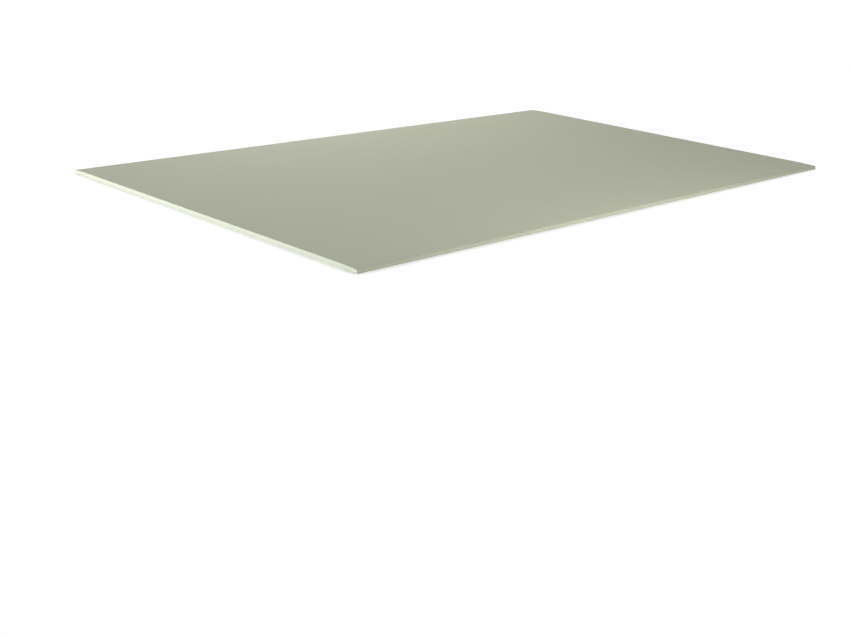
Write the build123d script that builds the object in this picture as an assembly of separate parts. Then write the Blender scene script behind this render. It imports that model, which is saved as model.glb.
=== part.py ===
"""A drywall sheet: set gypsum bound in paper, with tapered long edges and ends cut square.

The sheet lies on its back, face up. The origin is the middle of the back, +X runs along the
length, +Y across the width and +Z up out of the face. Lengths are in millimetres.
"""
from build123d import *
import os

# The sheet as it is sold
sheet_length = 2000.0
sheet_width = 1250.0
sheet_thickness = 12.5

# Along both long edges the face falls away, so that tape and filler can finish flush over a joint
taper_width = 55.0
taper_depth = 2.2

# The face eases into its taper with no crease
taper_ease_radius = 600.0

# The face paper is folded round the long edges, full towards the face and tight against the back
face_edge_radius = 5.0
back_edge_radius = 2.0


def sheet_section():
    """The cross-section, the same from end to end: a flat back, a flat face and two tapered, rounded edges."""
    half_width = sheet_width / 2
    flat_half_width = half_width - taper_width
    edge_height = sheet_thickness - taper_depth
    corners = [
        ((-half_width, 0), back_edge_radius),
        ((half_width, 0), back_edge_radius),
        ((half_width, edge_height), face_edge_radius),
        ((flat_half_width, sheet_thickness), taper_ease_radius),
        ((-flat_half_width, sheet_thickness), taper_ease_radius),
        ((-half_width, edge_height), face_edge_radius),
    ]
    points = [point for point, _ in corners]
    radii = [radius for _, radius in corners]
    with BuildSketch(Plane.YZ) as section:
        with BuildLine():
            FilletPolyline(*points, radius=radii, close=True)
        make_face()
    return section.sketch


def drywall_sheet():
    """The section drawn out along the length and cut square at both ends."""
    sheet = extrude(sheet_section(), amount=sheet_length / 2, both=True)
    sheet.label = "drywall_sheet"
    return sheet


os.makedirs("parts", exist_ok=True)
export_step(drywall_sheet(), "parts/drywall_sheet.step")
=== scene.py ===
import math

import bmesh
import bpy
from mathutils import Euler, Matrix, Vector


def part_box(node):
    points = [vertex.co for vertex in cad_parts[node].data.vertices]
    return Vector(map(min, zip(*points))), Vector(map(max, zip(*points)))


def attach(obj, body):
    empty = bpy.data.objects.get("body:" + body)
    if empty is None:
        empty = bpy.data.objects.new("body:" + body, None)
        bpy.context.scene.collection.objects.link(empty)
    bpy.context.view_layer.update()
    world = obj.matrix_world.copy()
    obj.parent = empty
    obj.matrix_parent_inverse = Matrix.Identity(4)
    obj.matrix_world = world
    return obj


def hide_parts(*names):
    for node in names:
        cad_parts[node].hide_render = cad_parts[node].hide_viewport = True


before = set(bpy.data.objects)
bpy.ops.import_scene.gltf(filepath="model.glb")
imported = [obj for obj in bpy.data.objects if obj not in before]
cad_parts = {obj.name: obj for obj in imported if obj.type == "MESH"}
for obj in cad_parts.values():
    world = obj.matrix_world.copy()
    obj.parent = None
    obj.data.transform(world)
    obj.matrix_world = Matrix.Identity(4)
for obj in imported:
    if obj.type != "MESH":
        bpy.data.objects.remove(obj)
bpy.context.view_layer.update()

# Gypsum core
# Set gypsum plaster, foamed a little while wet, that makes up nearly all of the sheet. It hardens between
# the two papers, so it has the sheet's section less their thickness, and only its cut ends are bare.
sheet_low, sheet_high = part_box("drywall_sheet")
sheet_length = sheet_high.x - sheet_low.x
half_length = sheet_length / 2
half_width = (sheet_high.y - sheet_low.y) / 2
taper_width = 0.055
taper_depth = 0.0022
taper_ease_radius = 0.6
face_edge_radius = 0.005
back_edge_radius = 0.002
paper_thickness = 0.0004
lap_width = 0.045
lap_ramp = 0.0006

# One half of the core's section, by heights above the floor and distances from the sheet's middle line
core_half_width = half_width - paper_thickness
core_back = sheet_low.z + paper_thickness
core_face = sheet_high.z - paper_thickness
core_lap_back = core_back + paper_thickness
middle_height = (core_back + core_face) / 2
taper_angle = math.atan(taper_depth / taper_width)
taper_start = half_width - taper_width
ease_reach = taper_ease_radius * math.tan(taper_angle / 2)
core_face_radius = face_edge_radius - paper_thickness
core_back_radius = back_edge_radius - paper_thickness
face_arc_y = core_half_width - core_face_radius
back_arc_y = core_half_width - core_back_radius

# Places nearer to each other than this count as one
touch = 1e-6


def taper_height(y):
    """The core's straight taper at a distance y from the sheet's middle line."""
    return core_face - (y - taper_start) * math.tan(taper_angle)


face_arc_z = taper_height(face_arc_y) - core_face_radius / math.cos(taper_angle)
back_arc_z = core_lap_back + core_back_radius


def face_height(y):
    """The core's face: flat, eased into the taper, straight, then round to the long edge."""
    if y <= taper_start - ease_reach:
        return core_face
    if y <= taper_start + ease_reach * math.cos(taper_angle):
        reach = y - (taper_start - ease_reach)
        return core_face - taper_ease_radius + math.sqrt(taper_ease_radius**2 - reach**2)
    if y <= face_arc_y + core_face_radius * math.sin(taper_angle):
        return taper_height(y)
    reach = min(y - face_arc_y, core_face_radius)
    return face_arc_z + math.sqrt(core_face_radius**2 - reach**2)


def back_height(y):
    """The core's back: flat, let in for the face paper's lap, then round to the long edge."""
    if y <= half_width - lap_width - lap_ramp + touch:
        return core_back
    if y <= back_arc_y:
        return core_lap_back
    reach = min(y - back_arc_y, core_back_radius)
    return back_arc_z - math.sqrt(core_back_radius**2 - reach**2)


def pick(piece, kind, wanted):
    """Selects the open mesh's vertices, edges or faces whose corners are wanted, and tells if it has any."""
    bpy.ops.mesh.select_mode(type=kind)
    bpy.ops.mesh.select_all(action="DESELECT")
    shape = bmesh.from_edit_mesh(piece.data)
    parts = {"VERT": shape.verts, "EDGE": shape.edges, "FACE": shape.faces}[kind]
    picked = False
    for part in parts:
        corners = [part.co] if kind == "VERT" else [corner.co for corner in part.verts]
        if wanted(corners):
            part.select_set(True)
            picked = True
    bmesh.update_edit_mesh(piece.data)
    return picked


def start_block(name, low, high, half_span):
    """Adds a block as long as the sheet, centred on its middle line, and opens it for editing."""
    bpy.ops.object.select_all(action="DESELECT")
    bpy.ops.mesh.primitive_cube_add(
        size=1, location=(0, 0, (low + high) / 2), scale=(sheet_length, 2 * half_span, high - low)
    )
    piece = bpy.context.object
    piece.name = name
    piece.data.name = name
    bpy.ops.object.transform_apply(location=True, rotation=True, scale=True)
    bpy.ops.object.mode_set(mode="EDIT")
    return piece


def cut_lines(distances):
    """Cuts the open block along its length at these distances to both sides of the middle line."""
    for distance in distances:
        for side in (-1, 1):
            bpy.ops.mesh.select_all(action="SELECT")
            bpy.ops.mesh.bisect(plane_co=(0, side * distance, 0), plane_no=(0, 1, 0), threshold=touch)


def move_lines(piece, distance, split_height, upper, rise):
    """Moves the lines at this distance from the middle, above or below the split height, up by rise."""

    def on_line(corners):
        """True for a corner on one of these lines."""
        place = corners[0]
        return abs(abs(place.y) - distance) < touch and (place.z > split_height) == upper

    pick(piece, "VERT", on_line)
    bpy.ops.transform.translate(value=(0, 0, rise))


def core_block(name):
    """A block with the core's section: cut wherever the section bends, and each line moved to its height."""
    piece = start_block(name, core_back, core_face, core_half_width)
    ease_steps = 6
    edge_steps = 10
    edge_step = (math.pi / 2 - taper_angle) / edge_steps
    edge_angles = [taper_angle + k * edge_step for k in range(edge_steps)]
    bends = [taper_start + ease_reach * (2 * k / ease_steps - 1) for k in range(ease_steps + 1)]
    bends += [half_width - lap_width - lap_ramp, half_width - lap_width]
    bends += [face_arc_y + core_face_radius * math.sin(angle) for angle in edge_angles]
    bends += [back_arc_y]
    cut_lines(bends)
    for bend in [*bends, core_half_width]:
        move_lines(piece, bend, middle_height, False, back_height(bend) - core_back)
        move_lines(piece, bend, middle_height, True, face_height(bend) - core_face)
    return piece


core = core_block("gypsum_core")

# The cut ends are divided into small faces, so that they can be broken and pitted
end_step = 0.0015
end_rows = 10


def at_end(place):
    """True for a place on a cut end."""
    return abs(place.x) > half_length - touch


def long_across_end(corners):
    """True for an edge that runs across a cut end and is longer than a step."""
    first, last = corners
    return at_end(first) and abs(first.x - last.x) < touch and abs(first.y - last.y) > end_step


def up_end(corners):
    """True for an edge that stands upright on a cut end."""
    first, last = corners
    return at_end(first) and (first - last).to_2d().length < touch


def divide_across(piece):
    """Halves the edges across the cut ends until none is longer than a step."""
    while pick(piece, "EDGE", long_across_end):
        bpy.ops.mesh.subdivide()


divide_across(core)
pick(core, "EDGE", up_end)
bpy.ops.mesh.subdivide(number_cuts=end_rows - 1)
bpy.ops.object.mode_set(mode="OBJECT")


def select_only(piece):
    """Makes this piece the selected and active one."""
    bpy.ops.object.select_all(action="DESELECT")
    bpy.context.view_layer.objects.active = piece
    piece.select_set(True)


def apply_modifiers(piece):
    """Applies the piece's modifiers in order."""
    select_only(piece)
    for name in [modifier.name for modifier in piece.modifiers]:
        bpy.ops.object.modifier_apply(modifier=name)


def sink_ends(piece, sinks, layers):
    """Sinks the cut ends' corners for which sinks is true, by layers of a texture and its greatest depth."""
    for side in (-1, 1):
        corners = [corner for corner in piece.data.vertices if at_end(corner.co) and sinks(corner)]
        sunk = [corner.index for corner in corners if side * corner.co.x > 0]
        group = piece.vertex_groups.new(name=f"cut_end_{side}")
        group.add(sunk, 1, "REPLACE")
        for texture, depth in layers:
            sink = piece.modifiers.new(texture.name, "DISPLACE")
            sink.texture = texture
            sink.texture_coords = "LOCAL"
            sink.vertex_group = group.name
            sink.direction = "X"
            sink.mid_level = 1
            sink.strength = side * depth
    apply_modifiers(piece)
    piece.vertex_groups.clear()


def inside_rim(corner):
    """True for a corner whose faces all lie square to the sheet's length."""
    return abs(corner.normal.x) > 1 - touch


# Inside their rims the cut ends sink: a little where the plaster broke away, more in its air bubbles
break_size = 0.007
break_depth = 0.0005
bubble_spacing = 0.005
bubble_reach_share = 0.3
bubble_depth = 0.0006
broken_plaster = bpy.data.textures.new("broken_plaster", "CLOUDS")
broken_plaster.noise_scale = break_size
air_bubbles = bpy.data.textures.new("air_bubbles", "VORONOI")
air_bubbles.noise_scale = bubble_spacing
air_bubbles.use_color_ramp = True
air_bubbles.color_ramp.elements[0].color = (0, 0, 0, 1)
air_bubbles.color_ramp.elements[1].color = (1, 1, 1, 1)
air_bubbles.color_ramp.elements[1].position = bubble_reach_share
sink_ends(core, inside_rim, [(broken_plaster, break_depth), (air_bubbles, bubble_depth)])

sharp_angle = math.radians(30)


def smooth_rounds(piece):
    """Shades the rounds smooth, keeps the cut edges sharp and the large flats flat."""
    select_only(piece)
    bpy.ops.object.shade_smooth_by_angle(angle=sharp_angle)
    flats = piece.modifiers.new("flats", "WEIGHTED_NORMAL")
    flats.keep_sharp = True
    apply_modifiers(piece)


class Socket:
    """A node's output, or the start of a tree. Arithmetic adds Math nodes, and add makes any other node."""

    def __init__(self, tree, output=None):
        self.tree = tree
        self.output = output

    def add(self, kind, settings, sockets, output=0):
        """A node of this kind: its settings first, then the link or value of each socket."""
        node = self.tree.nodes.new(kind)
        for name, value in settings.items():
            setattr(node, name, value)
        for name, value in sockets.items():
            if isinstance(value, Socket):
                self.tree.links.new(value.output, node.inputs[name])
            else:
                node.inputs[name].default_value = value
        return Socket(self.tree, node.outputs[output])

    def math(self, operation, first, second):
        """A Math node on two values."""
        return self.add("ShaderNodeMath", {"operation": operation}, {0: first, 1: second})

    def __add__(self, other):
        return self.math("ADD", self, other)

    def __radd__(self, other):
        return self.math("ADD", other, self)

    def __sub__(self, other):
        return self.math("SUBTRACT", self, other)

    def __rsub__(self, other):
        return self.math("SUBTRACT", other, self)

    def __mul__(self, other):
        return self.math("MULTIPLY", self, other)

    def __rmul__(self, other):
        return self.math("MULTIPLY", other, self)

    def __truediv__(self, other):
        return self.math("DIVIDE", self, other)

    def __rtruediv__(self, other):
        return self.math("DIVIDE", other, self)

    def at_least(self, other):
        """The larger of this value and another."""
        return self.math("MAXIMUM", self, other)

    def swing(self, amount):
        """How far this noise stands above or below its middle, times an amount."""
        return amount * (self - 0.5)

    def fade(self, nought, full):
        """A smooth step from 0 where this value is nought to 1 where it is full."""
        return self.add(
            "ShaderNodeMapRange",
            {"interpolation_type": "SMOOTHSTEP"},
            {"Value": self, "From Min": nought, "From Max": full},
        )

    def stretched(self, factor, turn=0):
        """Coordinates that draw a pattern out by this factor, along the sheet or at a turn from that."""
        return self.add(
            "ShaderNodeMapping",
            {"vector_type": "TEXTURE"},
            {"Vector": self, "Rotation": (0, 0, turn), "Scale": (factor, 1, 1)},
        )

    def noise(self, size, detail=2):
        """Cloudy noise from 0 to 1 with patches of about this size, read at these coordinates."""
        return self.add("ShaderNodeTexNoise", {}, {"Vector": self, "Scale": 1 / size, "Detail": detail})

    def specks(self, spacing, radius):
        """Specks this far apart, 1 inside and 0 outside, of all sizes up to about this radius."""
        patch_size = 3 * spacing
        rim_share = 0.4
        full_size = radius / spacing
        size = full_size * self.noise(patch_size).fade(nought=0.35, full=0.65)
        distance = self.add("ShaderNodeTexVoronoi", {}, {"Vector": self, "Scale": 1 / spacing})
        return (distance - size).fade(nought=0, full=-rim_share * full_size)

    def dot(self, other):
        """The dot product of this vector and another."""
        return self.add("ShaderNodeVectorMath", {"operation": "DOT_PRODUCT"}, {0: self, 1: other}, "Value")

    def shade(self, colour):
        """The colour made lighter or darker by this value."""
        return self.add("ShaderNodeVectorMath", {"operation": "SCALE"}, {0: colour, "Scale": self})

    def bump(self, depth, strength):
        """A normal for a surface on which this value from 0 to 1 is a height of this depth."""
        return self.add("ShaderNodeBump", {}, {"Height": self, "Distance": depth, "Strength": strength})

    def feed(self, shader, name):
        """Links this output to one of a shader's sockets."""
        self.tree.links.new(self.output, shader.inputs[name])


def new_finish(name):
    """A new material, its shader and a socket with the piece's own coordinates in metres."""
    material = bpy.data.materials.new(name)
    material.use_nodes = True
    tree = material.node_tree
    place = Socket(tree).add("ShaderNodeTexCoord", {}, {}, "Object")
    return material, tree.nodes["Principled BSDF"], place


plaster_cream = (0.80, 0.845, 0.705)


def set_plaster():
    """Dry set gypsum: creamy white, dull, a little cloudy, with fine grain and open pores, bumped and
    darkened with painted shade.
    """
    material, shader, place = new_finish("set_plaster")
    clouds = place.noise(size=0.06, detail=3)
    grain = place.noise(size=0.0012, detail=4)
    pores = place.specks(spacing=0.0045, radius=0.0012)
    fine_pores = place.specks(spacing=0.0012, radius=0.0004)
    # The pores' darkening in the colour is painted shade in their hollows; their relief comes from the bump
    # below
    tone = 1 + clouds.swing(0.10) + grain.swing(0.10) - 0.20 * pores - 0.16 * fine_pores
    relief = grain - pores - 0.5 * fine_pores
    tone.shade(plaster_cream).feed(shader, "Base Color")
    relief.bump(depth=0.0003, strength=0.6).feed(shader, "Normal")
    shader.inputs["Roughness"].default_value = 0.95
    shader.inputs["Specular IOR Level"].default_value = 0.25
    return material


core.data.materials.append(set_plaster())
smooth_rounds(core)
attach(core, "root")
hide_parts("drywall_sheet")

# Face paper
# One web of smooth grey-green paper, treated against damp. It covers the face and both tapers, is folded
# round the long edges while the plaster is wet, and is bonded to the back in a lap along each edge.
face_paper = core_block("face_paper")


def not_papered(corners):
    """True for the block's ends and for the middle of its back, where the face paper doesn't reach."""
    middle = sum(corners, Vector()) / len(corners)
    lap_line = half_width - lap_width + touch
    return at_end(middle) or all(abs(place.y) < lap_line and place.z < middle_height for place in corners)


pick(face_paper, "FACE", not_papered)
bpy.ops.mesh.delete(type="FACE")
divide_across(face_paper)
bpy.ops.object.mode_set(mode="OBJECT")

# The saw leaves the paper's cut edges a little frayed
fray_size = 0.004
fray_depth = 0.0003
frayed_fibres = bpy.data.textures.new("frayed_fibres", "CLOUDS")
frayed_fibres.noise_scale = fray_size


def whole_edge(corner):
    """Every corner of a paper's cut edge frays."""
    return True


sink_ends(face_paper, whole_edge, [(frayed_fibres, fray_depth)])
sheeting = face_paper.modifiers.new("sheeting", "SOLIDIFY")
sheeting.thickness = paper_thickness
sheeting.offset = 1
sheeting.use_even_offset = True
apply_modifiers(face_paper)

# Fibres lie in three layers, each at its turn from the web's length and with its share of the whole
fibre_layers = [(0.1, 0.4), (0.65, 0.3), (-0.5, 0.3)]


def felted_fibres(place, width, length):
    """Fibres from 0 to 1, of this width and length, in layers that cross."""
    return sum(
        share * place.stretched(length / width, turn).noise(size=width, detail=3)
        for turn, share in fibre_layers
    )


# The paper is rubbed paler where it is folded round the long edges
fold_width = 0.009
fold_ramp = 0.008
fold_start = half_width - fold_width
paper_green = (0.389, 0.406, 0.308)


def green_paper():
    """Smooth grey-green paper: faint clouds, felted fibres, a few flecks, and folds rubbed paler."""
    material, shader, place = new_finish("green_paper")
    drift = place.noise(size=0.35, detail=3)
    formation = place.noise(size=0.007, detail=4)
    fibres = felted_fibres(place, width=0.0009, length=0.005)
    dark_flecks = place.stretched(factor=3, turn=0.3).specks(spacing=0.010, radius=0.0010)
    pale_flecks = place.stretched(factor=4, turn=-0.2).specks(spacing=0.013, radius=0.0011)
    across = place.add("ShaderNodeSeparateXYZ", {}, {0: place}, "Y")
    fold = across.at_least(0 - across).fade(nought=fold_start, full=fold_start + fold_ramp)
    rubbed = fold * place.stretched(factor=6).noise(size=0.012, detail=3).fade(nought=0.4, full=0.7)
    tone = 1 + drift.swing(0.06) + formation.swing(0.14) + fibres.swing(0.36)
    tone = tone - 0.16 * dark_flecks + 0.10 * pale_flecks + 0.05 * rubbed
    roughness = 0.78 + formation.swing(0.12) + drift.swing(0.08)
    relief = 0.4 * formation + 0.6 * fibres
    tone.shade(paper_green).feed(shader, "Base Color")
    roughness.feed(shader, "Roughness")
    relief.bump(depth=0.0002, strength=0.5).feed(shader, "Normal")
    shader.inputs["Specular IOR Level"].default_value = 0.3
    return material


face_paper.data.materials.append(green_paper())
smooth_rounds(face_paper)
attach(face_paper, "root")

# Back paper
# A flat web of plain grey liner paper made from recycled fibre. It closes the back, stops a little short
# of the long edges and is bonded over the face paper's laps, with its own edges ground thin.
liner_margin = 0.022
liner_feather = 0.004
liner_edge_thickness = 0.00015
liner_half_width = half_width - liner_margin
liner_middle = (sheet_low.z + core_back) / 2
back_paper = start_block("back_paper", sheet_low.z, core_back, liner_half_width)
cut_lines([liner_half_width - liner_feather])
move_lines(back_paper, liner_half_width, liner_middle, False, paper_thickness - liner_edge_thickness)
divide_across(back_paper)
bpy.ops.object.mode_set(mode="OBJECT")
sink_ends(back_paper, whole_edge, [(frayed_fibres, fray_depth)])

liner_grey = (0.42, 0.40, 0.34)


def grey_liner():
    """Plain recycled paper: warm grey, mottled, with short dark and pale fibres along the web."""
    material, shader, place = new_finish("grey_liner")
    drift = place.noise(size=0.3, detail=3)
    formation = place.noise(size=0.009, detail=4)
    fibres = felted_fibres(place, width=0.0011, length=0.006)
    dark_flecks = place.stretched(factor=3, turn=-0.4).specks(spacing=0.008, radius=0.0011)
    pale_flecks = place.stretched(factor=4, turn=0.3).specks(spacing=0.010, radius=0.0011)
    tone = 1 + drift.swing(0.10) + formation.swing(0.22) + fibres.swing(0.40)
    tone = tone - 0.30 * dark_flecks + 0.22 * pale_flecks
    roughness = 0.84 + formation.swing(0.12)
    relief = 0.4 * formation + 0.6 * fibres
    tone.shade(liner_grey).feed(shader, "Base Color")
    roughness.feed(shader, "Roughness")
    relief.bump(depth=0.00025, strength=0.5).feed(shader, "Normal")
    shader.inputs["Specular IOR Level"].default_value = 0.3
    return material


back_paper.data.materials.append(grey_liner())
smooth_rounds(back_paper)
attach(back_paper, "root")

# Light
# Even white light from all round and four soft square lamps, each aimed at the middle of the sheet: one
# above the far long edge, and three low ones that light the near long edge and the two cut ends. Places
# are in metres and powers in watts.
surround_light = 0.34
lamp_size = 0.6
back_lamp_place = Vector((0.45, 1.9, 1.8))
back_lamp_power = 39
front_lamp_place = Vector((-0.1, -1.85, 0.6))
front_lamp_power = 19
left_lamp_place = Vector((-3.5, 0.6, 0.5))
left_lamp_power = 42
right_lamp_place = Vector((6.5, -1.0, 0.4))
right_lamp_power = 100
lamps = [
    ("back_lamp", back_lamp_place, back_lamp_power),
    ("front_lamp", front_lamp_place, front_lamp_power),
    ("left_lamp", left_lamp_place, left_lamp_power),
    ("right_lamp", right_lamp_place, right_lamp_power),
]
for lamp_name, lamp_place, lamp_power in lamps:
    bpy.ops.object.light_add(type="AREA", location=lamp_place)
    lamp = bpy.context.object
    lamp.name = lamp_name
    lamp.data.energy = lamp_power
    lamp.data.size = lamp_size
    lamp.rotation_euler = lamp_place.to_track_quat("Z", "Y").to_euler()
    lamp.visible_camera = False


def seen_rays(tree):
    """1 for rays by which the camera sees a thing, straight or reflected, and 0 for rays that only light."""
    start = Socket(tree)
    straight = start.add("ShaderNodeLightPath", {}, {}, "Is Camera Ray")
    reflected = start.add("ShaderNodeLightPath", {}, {}, "Is Glossy Ray")
    through = start.add("ShaderNodeLightPath", {}, {}, "Is Transmission Ray")
    return straight.at_least(reflected).at_least(through)


world = bpy.data.worlds.new("studio")
bpy.context.scene.world = world
world.use_nodes = True
surround = world.node_tree.nodes["Background"]
surround.inputs["Color"].default_value = (1, 1, 1, 1)
(surround_light + (1 - surround_light) * seen_rays(world.node_tree)).feed(surround, "Strength")
bpy.context.scene.view_settings.view_transform = "Standard"

# Floor
# A plain white studio floor, wide enough to fill the view. Towards the camera it glows by what the lamps
# leave short of white, so it is evenly white and still keeps the sheet's shadow.
floor_half_span = 100
floor_gap = 0.0001
floor_white = 0.9
floor_seen_white = 1.03
bpy.ops.object.select_all(action="DESELECT")
bpy.ops.mesh.primitive_plane_add(size=2 * floor_half_span, location=(0, 0, sheet_low.z - floor_gap))
floor = bpy.context.object
floor.name = "floor"


def lamp_light(place, lamp_place, lamp_power):
    """A lamp's light on the floor at this place. It falls with distance, less so near by, and with slant."""
    to_lamp = place.add("ShaderNodeVectorMath", {"operation": "SUBTRACT"}, {0: lamp_place, 1: place})
    facing = to_lamp.dot(lamp_place.normalized()).at_least(0)
    square = to_lamp.dot(to_lamp) + (lamp_size / 2) ** 2
    return lamp_power / math.pi**2 * lamp_place.z * facing / (square * square)


def studio_white():
    """Matte white that glows by what it lacks in the lamps' light, where no shadow falls."""
    material, shader, place = new_finish("studio_white")
    light = sum(lamp_light(place, lamp_place, lamp_power) for _, lamp_place, lamp_power in lamps)
    short_of_white = (floor_seen_white - floor_white * (surround_light + light)).at_least(0)
    (short_of_white * seen_rays(place.tree)).shade((1, 1, 1)).feed(shader, "Emission Color")
    shader.inputs["Emission Strength"].default_value = 1
    shader.inputs["Base Color"].default_value = (floor_white, floor_white, floor_white, 1)
    shader.inputs["Roughness"].default_value = 1
    shader.inputs["Specular IOR Level"].default_value = 0
    return material


floor.data.materials.append(studio_white())

# Camera
# At the photograph's viewpoint: above the sheet's front corner, looking down along its diagonal.
camera_place = (-2.8078, -2.6735, 0.8323)
camera_heading = math.radians(45.292)
camera_dip = math.radians(18.831)
camera_roll = math.radians(2.436)
picture_width_mm = 36
lens_mm = 53.70
bpy.ops.object.camera_add(location=camera_place)
camera = bpy.context.object
camera.name = "camera"
camera.data.sensor_width = picture_width_mm
camera.data.lens = lens_mm
turn = Euler((math.pi / 2 - camera_dip, 0, camera_heading - math.pi / 2)).to_matrix()
turn = turn @ Matrix.Rotation(camera_roll, 3, "Z")
camera.rotation_euler = turn.to_euler()
bpy.context.scene.camera = camera
